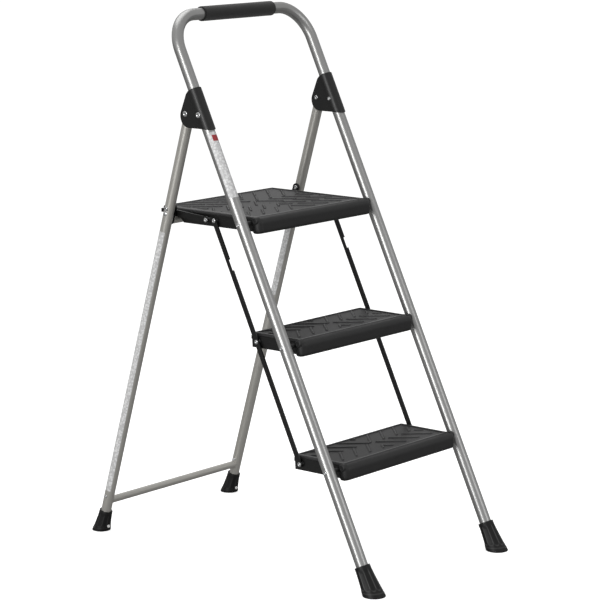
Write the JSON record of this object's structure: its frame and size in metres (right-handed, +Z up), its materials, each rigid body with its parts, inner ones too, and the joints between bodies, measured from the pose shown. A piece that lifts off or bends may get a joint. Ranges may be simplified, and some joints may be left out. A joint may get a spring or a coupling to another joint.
{
  "type": "step stool",
  "caption": "Folding step stool with flat treads between tubular side rails, a raised hand rail with foam grip and a hinged rear leg frame.",
  "frame": {"origin": "centre of the footprint on the floor, standing open", "axes": "+Z up; the climber faces +Y, so the front feet are at -Y and the rear legs at +Y; X across the stool"},
  "size_m": [0.476, 0.812, 1.158],
  "materials": {
    "front_tube": "satin silver powder coat",
    "rear_tube": "satin silver powder coat, a little warmer",
    "grip_foam": "matt closed-cell foam",
    "bracket_plastic": "moulded, soft sheen",
    "rivet_steel": "bright zinc plated",
    "spacer_nylon": "matt",
    "foot_rubber": "matt moulded",
    "sticker_vinyl": "plain printed vinyl, no text",
    "tread_plastic": "textured, satin",
    "pan_paint": "semi-gloss black",
    "link_paint": "semi-gloss black"
  },
  "bodies": {
    "front_frame": {"front_frame_tube": "front_tube", "hand_grip": "grip_foam", "hinge_bracket_left": "bracket_plastic", "hinge_bracket_right": "bracket_plastic", "bracket_fixing_rivets": "rivet_steel", "hinge_pivot_rivets": "rivet_steel", "tread_pivot_rivets": "rivet_steel", "tread_pivot_spacers": "spacer_nylon", "front_foot_left": "foot_rubber", "front_foot_right": "foot_rubber", "rail_sticker": "sticker_vinyl"},
    "platform": {"platform_cover": "tread_plastic", "platform_pan": "pan_paint", "platform_rod_rivets": "rivet_steel", "spreader_front_rivets": "rivet_steel"},
    "middle_tread": {"middle_tread_cover": "tread_plastic", "middle_tread_pan": "pan_paint", "middle_tread_rod_rivets": "rivet_steel"},
    "lower_tread": {"lower_tread_cover": "tread_plastic", "lower_tread_pan": "pan_paint", "lower_tread_rod_rivets": "rivet_steel"},
    "link_rod_left": {"link_rod_left": "link_paint"},
    "link_rod_right": {"link_rod_right": "link_paint"},
    "spreader_link_left": {"spreader_link_left": "link_paint"},
    "spreader_link_right": {"spreader_link_right": "link_paint"},
    "rear_frame": {"rear_leg_left": "rear_tube", "rear_leg_right": "rear_tube", "rear_crossbar": "rear_tube", "rear_lower_brace": "rear_tube", "crossbar_gusset_left": "link_paint", "crossbar_gusset_right": "link_paint", "crossbar_rivets": "rivet_steel", "spreader_rear_rivets": "rivet_steel", "brace_rivets": "rivet_steel", "rear_foot_left": "foot_rubber", "rear_foot_right": "foot_rubber", "rear_foot_screws": "rivet_steel", "leg_sticker_left": "sticker_vinyl", "leg_sticker_right": "sticker_vinyl"}
  },
  "joints": [
    {"name": "platform_fold", "type": "hinge", "parent": "front_frame", "child": "platform", "pos_m": [0, -0.03108, 0.724], "axis": [1, 0, 0], "range_deg": [0, 60]},
    {"name": "middle_tread_fold", "type": "hinge", "parent": "front_frame", "child": "middle_tread", "pos_m": [0, -0.14735, 0.481], "axis": [1, 0, 0], "range_deg": [0, 60]},
    {"name": "lower_tread_fold", "type": "hinge", "parent": "front_frame", "child": "lower_tread", "pos_m": [0, -0.26362, 0.238], "axis": [1, 0, 0], "range_deg": [0, 60]},
    {"name": "rear_frame_fold", "type": "hinge", "parent": "front_frame", "child": "rear_frame", "pos_m": [0, 0.11161, 0.944], "axis": [-1, 0, 0], "range_deg": [0, 35.67]},
    {"name": "link_rod_left_swing", "type": "hinge", "parent": "platform", "child": "link_rod_left", "pos_m": [-0.1905, 0.06592, 0.72], "axis": [-1, 0, 0], "range_deg": [0, 60]},
    {"name": "spreader_link_left_swing", "type": "hinge", "parent": "platform", "child": "spreader_link_left", "pos_m": [-0.1961, 0.08402, 0.7208], "axis": [-1, 0, 0], "range_deg": [0, 150.09]},
    {"name": "link_rod_right_swing", "type": "hinge", "parent": "platform", "child": "link_rod_right", "pos_m": [0.1905, 0.06592, 0.72], "axis": [-1, 0, 0], "range_deg": [0, 60]},
    {"name": "spreader_link_right_swing", "type": "hinge", "parent": "platform", "child": "spreader_link_right", "pos_m": [0.1961, 0.08402, 0.7208], "axis": [-1, 0, 0], "range_deg": [0, 150.09]}
  ],
  "couplings": [
    {"joint": "middle_tread_fold", "follows": "platform_fold", "ratio": 1},
    {"joint": "lower_tread_fold", "follows": "platform_fold", "ratio": 1},
    {"joint": "rear_frame_fold", "follows": "platform_fold", "ratio": 0.5943},
    {"joint": "link_rod_left_swing", "follows": "platform_fold", "ratio": 1},
    {"joint": "spreader_link_left_swing", "follows": "platform_fold", "ratio": 2.5013},
    {"joint": "link_rod_right_swing", "follows": "platform_fold", "ratio": 1},
    {"joint": "spreader_link_right_swing", "follows": "platform_fold", "ratio": 2.5013}
  ]
}
